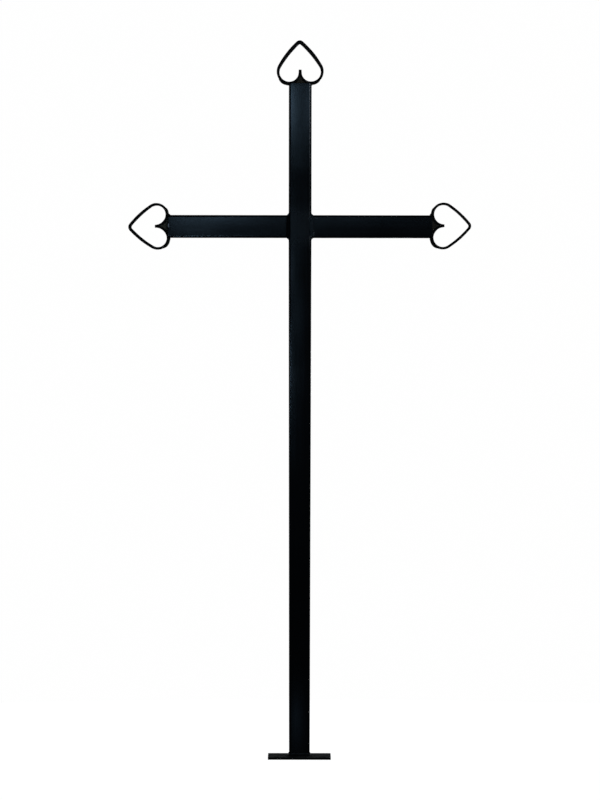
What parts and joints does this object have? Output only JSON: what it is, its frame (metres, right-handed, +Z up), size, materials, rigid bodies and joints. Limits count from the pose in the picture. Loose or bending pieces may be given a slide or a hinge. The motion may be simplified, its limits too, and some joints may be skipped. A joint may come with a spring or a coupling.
{
  "type": "wrought iron cross",
  "caption": "Tall slim black welded cross of square tube with a bent flat-bar heart on each free end and a square foot plate for fixing down.",
  "frame": {"origin": "centre of the foot plate's underside, where the cross is fixed down", "axes": "+Z up along the upright, +X to the viewer's right along the arms, front faces -Y"},
  "size_m": [0.6005, 0.11, 1.2576],
  "materials": {
    "tube_paint": "semi-gloss black paint over smooth drawn tube, faint brush marks and runs",
    "heart_paint": "semi-gloss black paint over hammered flat bar, thin on the edges",
    "weld_paint": "black paint over rippled or ground weld",
    "foot_paint": "semi-gloss black paint, slightly worn on top"
  },
  "bodies": {
    "root": {"upright_tube": "tube_paint", "left_arm_tube": "tube_paint", "right_arm_tube": "tube_paint", "top_end_cap": "weld_paint", "left_end_cap": "weld_paint", "right_end_cap": "weld_paint", "top_heart": "heart_paint", "left_heart": "heart_paint", "right_heart": "heart_paint", "left_arm_weld": "weld_paint", "right_arm_weld": "weld_paint", "foot_plate": "foot_paint", "foot_weld": "weld_paint"}
  },
  "joints": []
}
